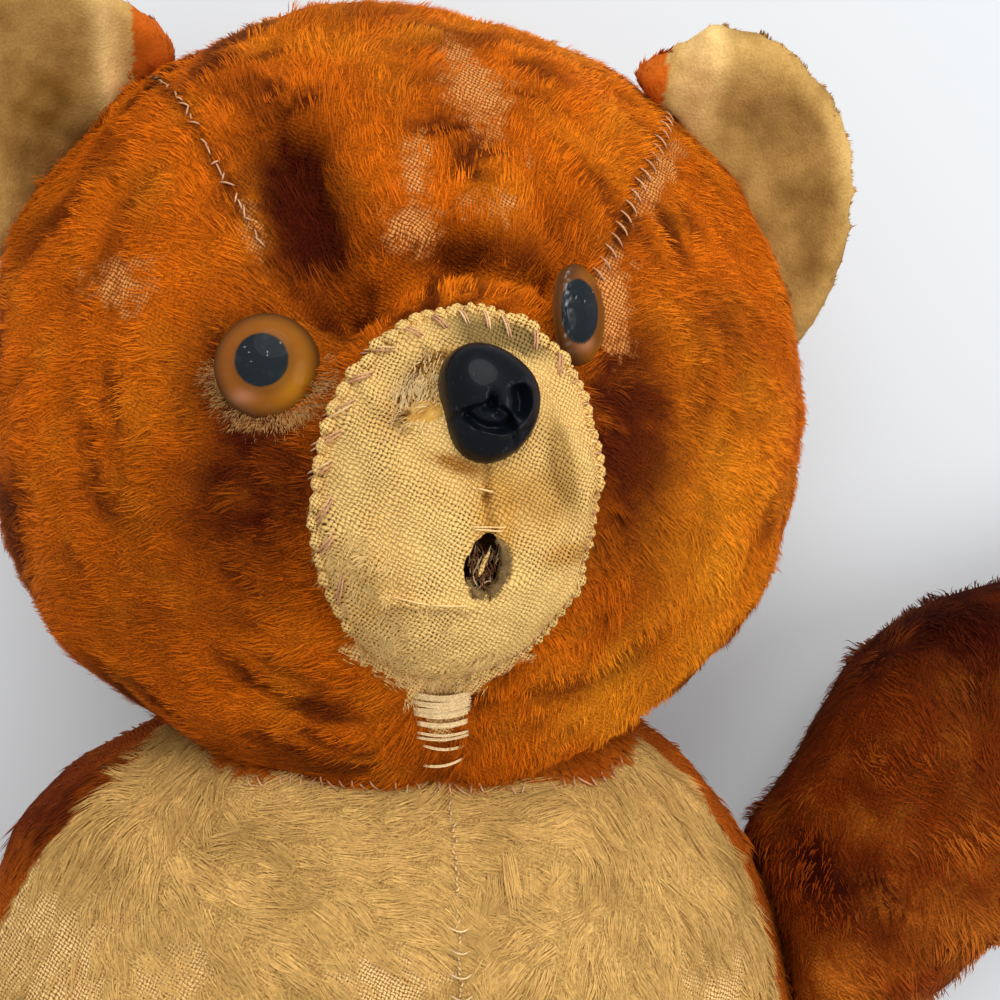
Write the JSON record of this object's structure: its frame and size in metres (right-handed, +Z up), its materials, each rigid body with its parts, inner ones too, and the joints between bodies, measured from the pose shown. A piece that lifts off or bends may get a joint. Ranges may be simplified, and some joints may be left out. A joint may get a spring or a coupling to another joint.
{
  "type": "threadbare teddy bear",
  "caption": "Worn plush bear toy lying on its back: a turned head with a bare woven muzzle, moulded eyes and nose, a cream chest and stuffed limbs.",
  "frame": {"origin": "on the flat of the back that the bear lies on, under the middle of the body", "axes": "+Y towards the head, +X towards the bear's own left, +Z up out of the chest"},
  "size_m": [0.4642, 0.5922, 0.1768],
  "materials": {
    "rust_plush": "short worn pile, matted, with bald patches of woven backing",
    "dark_rust_plush": "denser pile, darker and less faded",
    "cream_plush": "long curly pile, matted into locks, bare at the hem",
    "worn_muzzle_cloth": "pile worn away to a plain weave",
    "darning_cotton": "parallel cotton threads",
    "tan_felt": "thin pressed felt",
    "stuffing": "packed kapok",
    "amber_plastic": "translucent, dusty gloss",
    "pupil_plastic": "dusty black",
    "nose_plastic": "moulded black gloss",
    "washer_plastic": "plain moulded"
  },
  "bodies": {
    "root": {"head_gusset": "rust_plush", "head_side_right": "rust_plush", "head_side_left": "rust_plush", "ear_back_right": "rust_plush", "ear_back_left": "rust_plush", "back": "rust_plush", "arm_right": "dark_rust_plush", "arm_left": "dark_rust_plush", "leg_right": "dark_rust_plush", "leg_left": "dark_rust_plush", "chest_right": "cream_plush", "chest_left": "cream_plush", "ear_lining_right": "cream_plush", "ear_lining_left": "cream_plush", "paw_pad_right": "cream_plush", "paw_pad_left": "cream_plush", "sole_pad_right": "cream_plush", "sole_pad_left": "cream_plush", "muzzle": "worn_muzzle_cloth", "chin_darn": "darning_cotton", "mouth_lining": "tan_felt", "head_stuffing": "stuffing", "body_stuffing": "stuffing", "arm_right_stuffing": "stuffing", "arm_left_stuffing": "stuffing", "leg_right_stuffing": "stuffing", "leg_left_stuffing": "stuffing", "eye_lens_right": "amber_plastic", "eye_lens_left": "amber_plastic", "eye_pupil_right": "pupil_plastic", "eye_pupil_left": "pupil_plastic", "nose": "nose_plastic", "eye_washer_right": "washer_plastic", "eye_washer_left": "washer_plastic", "nose_washer": "washer_plastic"}
  },
  "joints": []
}
